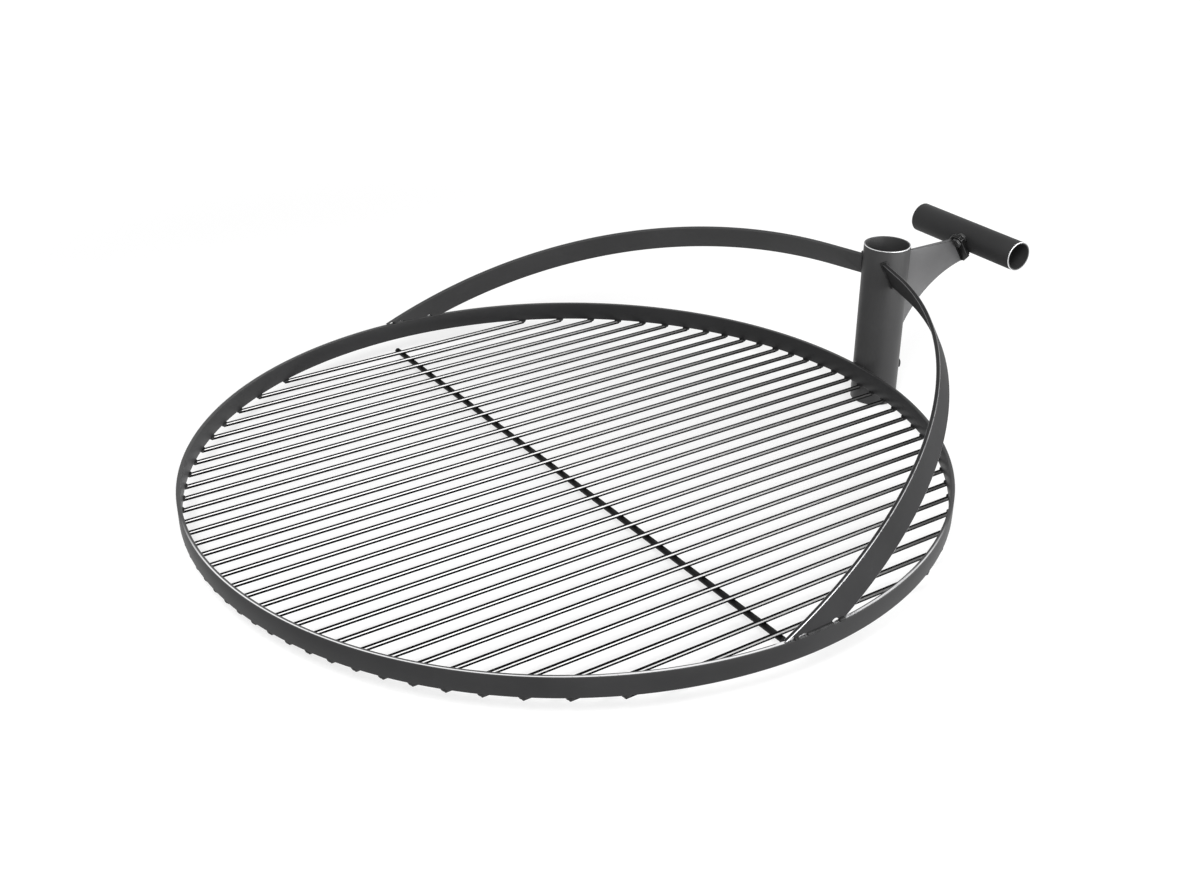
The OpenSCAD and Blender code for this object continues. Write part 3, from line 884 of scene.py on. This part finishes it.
def make_thread(name, radius, length, crests, low, high):
    """A shank with thread crests between two heights, standing on its local origin."""
    clear_selection()
    bpy.ops.mesh.primitive_cylinder_add(vertices=40, radius=radius, depth=length,
                                        location=(0, 0, length / 2))
    shank = new_piece(name)
    place(shank)
    pitch = (high - low) / crests
    for number in range(2 * crests + 1):
        edit_all()
        bpy.ops.mesh.bisect(plane_co=(0, 0, low + number * pitch / 2), plane_no=(0, 0, 1))
        close_edit()
    for number in range(crests + 1):
        height = low + number * pitch
        select_edges(shank, lambda a, b: max(abs(a.z - height), abs(b.z - height)) < 0.01 * MM)
        bpy.ops.transform.resize(value=(THREAD_ROOT, THREAD_ROOT, 1),
                                 center_override=(0, 0, height))
        close_edit()
    finish_with(shank, "BEVEL", width=0.3 * MM, segments=2, limit_method="ANGLE",
                angle_limit=math.radians(60))
    return shank


def finish_hexagon(block, matrix=HERE, edge=0.18 * MM):
    place(block, matrix)
    round_edges(block, edge, segments=1, angle=40)
    smooth(block, 40)
    return block


print("hexagons and threads ready, thread clearance %.2f mm" % (THREAD_FREE / MM))


# %% Bolt and nuts
def make_bolt():
    shank_long = FLANGE_T + PLATE_T + NUT_H + BOLT_PAST
    shank = make_thread("shank", BOLT_R, shank_long, 4, shank_long - 3.6 * MM,
                        shank_long - 0.4 * MM)
    head = make_hexagon("head", BOLT_FLATS, HEAD_H)
    place(head, Matrix.Rotation(math.pi, 4, "X") @ Matrix.Rotation(math.pi / 6, 4, "Z"))
    bolt = join("hex_bolt", [shank, head])
    place(bolt, on_slope @ Matrix.Translation((BOLT_X, -BOLT_UP, -FLANGE_FACE - FLANGE_T)))
    return bolt


hex_bolt = finish_hexagon(make_bolt())
dress(hex_bolt, (blackened_bolt,), "dark_fastener", "handle_bolt")

hex_nut = finish_hexagon(make_hexagon("hex_nut", BOLT_FLATS, NUT_H, BOLT_R + THREAD_FREE),
                         on_slope @ Matrix.Translation((BOLT_X, -BOLT_UP, -PLATE_FACE)))
dress(hex_nut, (blackened_bolt,), "dark_fastener", "handle_nut")

LOCK_FLATS, LOCK_H = 13 * MM, 6.5 * MM
welded_nut = finish_hexagon(make_hexagon("welded_nut", LOCK_FLATS, LOCK_H, SCREW_R + THREAD_FREE),
                            lock_way @ Matrix.Translation((0, 0, SLEEVE_R + WELD_GAP)),
                            0.2 * MM)
dress(welded_nut, (charcoal_coat,), "charcoal_steel", "lock_nut")

# %% Lock screw
SCREW_LEN, KEY_FLATS, KEY_DEEP = 10 * MM, 4 * MM, 4 * MM
set_screw = make_thread("set_screw", SCREW_R, SCREW_LEN, 8, 1.0 * MM, 9.4 * MM)
cut_with(set_screw, rod_cutter(KEY_FLATS / 2 / math.cos(math.pi / 6), KEY_DEEP + MM,
                               Matrix.Translation((0, 0, SCREW_LEN - KEY_DEEP)), 6))
place(set_screw, lock_way @ Matrix.Translation((0, 0, SLEEVE_R - SLEEVE_WALL)))
smooth(set_screw, 30)
dress(set_screw, (blackened_bolt,), "dark_fastener", "lock_screw", body="lock_screw_body")

# %% [markdown]
# ## Welds
# A hand-laid bead is a row of overlapping ripples, each a small pool that froze. A bevel in
# the corner would look machined. So one ripple is modelled as a sphere, its copies are laid
# along the seam and flattened, and a voxel Remesh melts them into one skin, which keeps the
# scalloped edge.

# %% Bead
GAP, VOXEL, RIPPLE_FLAT = 1.7 * MM, 0.42 * MM, 0.72


def lay_bead(name, radius, runs):
    """Sets a ripple on each point of each run, flattened along the run, and melts them."""
    clear_selection()
    bpy.ops.mesh.primitive_uv_sphere_add(segments=12, ring_count=8, radius=radius)
    one_ripple = new_piece("one_ripple")
    ripples = []
    for points in runs:
        for here, ahead in zip(points, points[1:] + [points[-1] * 2 - points[-2]]):
            ripple = twin(one_ripple, "ripple")
            way = (ahead - here).normalized()
            ripple.matrix_world = (Matrix.Translation(here)
                                   @ way.to_track_quat("Z", "Y").to_matrix().to_4x4()
                                   @ Matrix.Diagonal((1, 1, RIPPLE_FLAT, 1)))
            ripples.append(ripple)
    bpy.data.objects.remove(one_ripple)
    bead = join(name, ripples)
    place(bead)
    finish_with(bead, "REMESH", mode="VOXEL", voxel_size=VOXEL, use_smooth_shade=True)
    return bead


def weld(name, radius, runs, node, material=weld_seam):
    """Lays a bead in place of a weld of the CAD."""
    dress(lay_bead(name, radius, runs), (material,), "weld_seam", node)


def points_between(start, end):
    """Points on a straight line, about one gap apart."""
    count = max(2, round((end - start).length / GAP) + 1)
    return [start.lerp(end, i / (count - 1)) for i in range(count)]


print("ready to weld, a ripple every %.1f mm" % (GAP / MM))

# %% Beads under the arms' feet
# Each bead: its start and end as shares of the foot's length.
FOOT_BEADS = ((0.16, 0.20), (0.37, 0.78), (0.92, 0.99))
bead_r = RING_R - 1.0 * MM
foot_runs = []
for side in (1, -1):
    for low, high in FOOT_BEADS:
        turns = [math.asin((ARM_FOOT_Y - FOOT_HALF + 2 * FOOT_HALF * share) / RING_R)
                 for share in (low, high)]
        count = max(2, round((turns[1] - turns[0]) * RING_R / GAP) + 1)
        run = []
        for i in range(count):
            a = turns[0] + (turns[1] - turns[0]) * i / (count - 1)
            run.append(GRATE + Vector((side * bead_r * math.cos(a), bead_r * math.sin(a),
                                       RING_TOP + FOOT_GAP / 2)))
        foot_runs.append(run)
weld("foot_beads", 1.75 * MM, foot_runs, "arm_foot_welds")


# %% Collars round the arms' ends
def collar_run(side):
    """Walks round the bar's section and drops each point along the bar onto the sleeve."""
    half = (ARM_T / 2 + 0.6 * MM, ARM_W / 2 + 0.6 * MM)
    corners = [Vector((s * half[0], t * half[1], 0))
               for s, t in ((1, 1), (-1, 1), (-1, -1), (1, -1))]
    walk = []
    for a, b in zip(corners, corners[1:] + corners[:1]):
        walk += points_between(a, b)[:-1]
    run = []
    for p in walk:
        x = p.x * math.cos(ARM_FLARE) + p.y * math.sin(ARM_FLARE)
        z = p.y * math.cos(ARM_FLARE) - p.x * math.sin(ARM_FLARE)
        start = bend_end @ Vector((ARM_R + x, 0, z))
        way = bend_end.to_3x3() @ Vector((0, 1, 0))
        # The line start + way * t meets the sleeve's cylinder where a t^2 + 2 b t + c = 0.
        a = way.x ** 2 + way.y ** 2
        b = start.x * way.x + start.y * way.y
        c = start.x ** 2 + start.y ** 2 - (SLEEVE_R + 0.4 * MM) ** 2
        root = b * b - a * c
        if root > 0:
            hit = start + way * ((-b - math.sqrt(root)) / a)
            run.append(Vector((side * hit.x, hit.y, hit.z)))
    return run + run[:1]


weld("sleeve_collars", 1.7 * MM, [collar_run(side) for side in (1, -1)], "arm_sleeve_welds")

# %% Fillets of the gusset, the flange, the handle, the ring and the lock nut
upright, slanted, under_grip, groove = [], [], [], []
gusset_up = (GUSSET_TOP - HANDLE.z + GUSSET_FACE * math.sin(SLOPE)) / math.cos(SLOPE)
for side in (1, -1):
    x, y = side * (GUSSET_T / 2 + 1.1 * MM), SLEEVE_R + 0.3 * MM
    upright.append(points_between(Vector((x, y, 75 * MM)), Vector((x, y, GUSSET_TOP - MM))))
    x, z = side * (GUSSET_T / 2 + 0.7 * MM), -FLANGE_FACE - FLANGE_T - 0.6 * MM
    slanted.append(points_between(on_slope @ Vector((x, GUSSET_END - 1.5 * MM, z)),
                                  on_slope @ Vector((x, 7 * MM - gusset_up, z))))
    y, z = side * 6.6 * MM, -PLATE_FACE + 1.0 * MM
    under_grip.append(points_between(on_slope @ Vector((-1.5 * MM, y, z)),
                                     on_slope @ Vector((10 * MM, y, z))))
    x, y = side * 6.4 * MM, -SLEEVE_R - 0.1 * MM
    groove.append(points_between(Vector((x, y, RING_LIFT + MM)), Vector((x, y, RING_TOP - MM))))
weld("gusset_fillets", 2.0 * MM, upright, "gusset_welds")
# The flange's beads get the near-black coat as painted shade too.
weld("flange_fillets", 1.15 * MM, slanted, "flange_welds", black_bar)
weld("grip_fillets", 2.0 * MM, under_grip, "handle_welds")
weld("rim_fillets", 1.9 * MM, groove, "sleeve_rim_weld")

NUT_RING_R, NUT_RING_STEPS = 8.2 * MM, 30
nut_ring = []
for i in range(NUT_RING_STEPS + 1):
    a = 2 * math.pi * i / NUT_RING_STEPS
    x = NUT_RING_R * math.cos(a)
    nut_ring.append(Vector((x, math.sqrt(SLEEVE_R ** 2 - x * x) + 0.4 * MM,
                            LOCK_Z + NUT_RING_R * math.sin(a))))
weld("nut_fillet", 1.5 * MM, [nut_ring], "lock_nut_weld")

# %% [markdown]
# ## Rods and cross bar
# A rod is round wire, cropped to length and held under the ring by a dab of weld at each end.
# The CAD's rods are many-sided, and a narrow highlight would break up on their flats, so new
# rods with smooth sides stand for them. An Array modifier would make them all equally long, so
# one rod and one dab are modelled and copied. Each copy of the rod gets its length by moving
# its two ends, and each copy of the dab lies along the ring. The cross bar under the rods is
# plain and black, so the CAD's own bar stays.

# %% Rod and dab
ROD_COUNT, ROD_R, ROD_HALF = 33, 2.25 * MM, 100 * MM
ROD_LEFT, ROD_RIGHT = 31.8 * MM, 35.4 * MM  # from the ring's inside to the outermost rods
ROD_INSET, DAB_IN = 2.2 * MM, 2.9 * MM
rod_pitch = (2 * (RING_R - RING_T) - ROD_LEFT - ROD_RIGHT) / (ROD_COUNT - 1)
row = Matrix.Translation(GRATE) @ Matrix.Rotation(ROD_TURN, 4, "Z")

clear_selection()
bpy.ops.mesh.primitive_cylinder_add(vertices=32, radius=ROD_R, depth=2 * ROD_HALF,
                                    location=(0, 0, RING_LIFT - WELD_GAP - ROD_R),
                                    rotation=(math.pi / 2, 0, 0))
one_rod = new_piece("one_rod")
place(one_rod)
one_rod.data.materials.append(rod_painted_highlight)
round_edges(one_rod, 0.8 * MM, segments=3)
smooth(one_rod)

clear_selection()
bpy.ops.mesh.primitive_uv_sphere_add(segments=20, ring_count=12, radius=1,
                                     location=(0, 0, RING_LIFT - 0.4 * MM))
one_dab = new_piece("one_dab")
one_dab.scale = (4.3 * MM, 2.9 * MM, 3.2 * MM)
place(one_dab)
slice_off((0, 0, RING_LIFT - WELD_GAP / 2), (0, 0, -1))
one_dab.data.materials.append(weld_seam)
smooth(one_dab, 50)
print("pitch %.2f mm" % (rod_pitch / MM))


# %% The row of rods
def make_rod(number):
    x = ROD_LEFT - (RING_R - RING_T) + (number - 1) * rod_pitch
    rod = twin(one_rod, "rod_bar_%02d" % number)
    reach_out = math.sqrt((RING_R - ROD_INSET) ** 2 - x * x)
    pick(rod)
    for side in (1, -1):
        select_faces(rod, lambda c, n: c.y * side > ROD_HALF / 2)
        bpy.ops.transform.translate(value=(0, side * (reach_out - ROD_HALF), 0))
        close_edit()
    place(rod, row @ Matrix.Translation((x, 0, 0)))
    parts = [rod]
    for side in (1, -1):
        y = side * math.sqrt((RING_R - DAB_IN) ** 2 - x * x)
        dab = twin(one_dab, "dab")
        place(dab, row @ Matrix.Translation((x, y, 0))
              @ Matrix.Rotation(math.atan2(y, x) - math.pi / 2, 4, "Z"))
        parts.append(dab)
    return join("rod_bar_%02d" % number, parts)


for number in range(1, ROD_COUNT + 1):
    dress(make_rod(number), (rod_painted_highlight, weld_seam), "bright_rod", "grill_rod_%02d" % number)
for master in (one_rod, one_dab):
    bpy.data.objects.remove(master)

# %% Finish of the cross bar
cross_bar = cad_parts["cross_bar"]
cross_bar.data.materials.clear()
cross_bar.data.materials.append(black_bar)
print("cross bar dressed in", black_bar.name)

# %% [markdown]
# ## Floor and light
# The floor is plain and white to the camera, and it keeps a soft shadow. It glows to the
# camera, and more the farther it lies from the grate, so only the shadow near the ring can be
# seen. It lies 0.8 mm under the part, so that their faces never meet.
#
# The room is white where the camera or a reflection sees it. Two wide panels stand on the
# right and behind the sleeve and lift the faces that look that way. A lamp in front and above
# draws a soft shadow that stays close to the ring, and a wide one overhead keeps the rest even.

# %% Floor
MATT_GREY, NEAR_GLOW, WHITE = (0.5, 0.5, 0.5), (0.57, 0.57, 0.57), (1.0, 1.0, 1.0)
GLOW_RISES, GLOW_FULL = 0.7, 3.5  # squares of the distance from the grate's middle


def camera_rays(tree):
    """The signals for what the camera sees and for what a reflection or refraction sees."""
    direct = add_node(tree, "ShaderNodeLightPath", out="Is Camera Ray")
    path = direct.socket.node
    glossy, through = (Signal(path.outputs[name])
                       for name in ("Is Glossy Ray", "Is Transmission Ray"))
    return direct, glossy.most(through)


clear_selection()
bpy.ops.mesh.primitive_plane_add(size=14, location=(0, 0, 0))
floor = new_piece("floor")
place(floor, Matrix.Translation((0, 0, -0.8 * MM)))
paper = Finish("floor_paper")
seen, mirrored_rays = camera_rays(paper.tree)
x, y = paper.axis("X"), paper.axis("Y") + 400 * MM
glow = paper.mix((x * x + y * y).step(GLOW_RISES, GLOW_FULL), NEAR_GLOW, WHITE)
matt = paper.node("ShaderNodeBsdfDiffuse", Color=MATT_GREY)
lift = paper.node("ShaderNodeEmission", Color=glow, Strength=seen)
both = paper.node("ShaderNodeAddShader", inputs=(matt, lift))
white = paper.node("ShaderNodeEmission", Color=WHITE, Strength=1.0)
paper.end(paper.node("ShaderNodeMixShader", inputs=(mirrored_rays, both, white)))
floor.data.materials.append(paper.material)
print("floor laid")

# %% Room and lamps
ROOM_LIGHT = 0.5
world = bpy.data.worlds.new("white_room")
bpy.context.scene.world = world
world.use_nodes = True
room = world.node_tree
room.nodes.clear()
direct, reflected = camera_rays(room)
backdrop = add_node(room, "ShaderNodeBackground", Color=WHITE,
                    Strength=direct.most(reflected) * (1 - ROOM_LIGHT) + ROOM_LIGHT)
add_node(room, "ShaderNodeOutputWorld", Surface=backdrop)
print("room light outside the camera's view: %.1f" % ROOM_LIGHT)


def add_lamp(name, stand, aim, wide, high, watts):
    data = bpy.data.lights.new(name, "AREA")
    data.shape, data.size, data.size_y, data.energy = "RECTANGLE", wide, high, watts
    lamp = bpy.data.objects.new(name, data)
    lamp.location = stand
    lamp.rotation_euler = (Vector(aim) - Vector(stand)).to_track_quat("-Z", "Y").to_euler()
    bpy.context.scene.collection.objects.link(lamp)


# Name, place, aim, width, height and watts.
for lamp in (("side_panel", (2.3, 0.5, 0.6), (0, -0.2, 0.08), 3.2, 1.0, 56),
             ("back_panel", (0.5, 2.3, 0.6), (0.1, -0.2, 0.08), 1.4, 1.0, 30),
             ("key", (0.95, -1.35, 1.45), (0, -0.4, 0), 0.5, 0.5, 18),
             ("top_panel", (0.7, -0.5, 2.4), (0, -0.35, 0), 2.2, 2.2, 9)):
    add_lamp(*lamp)
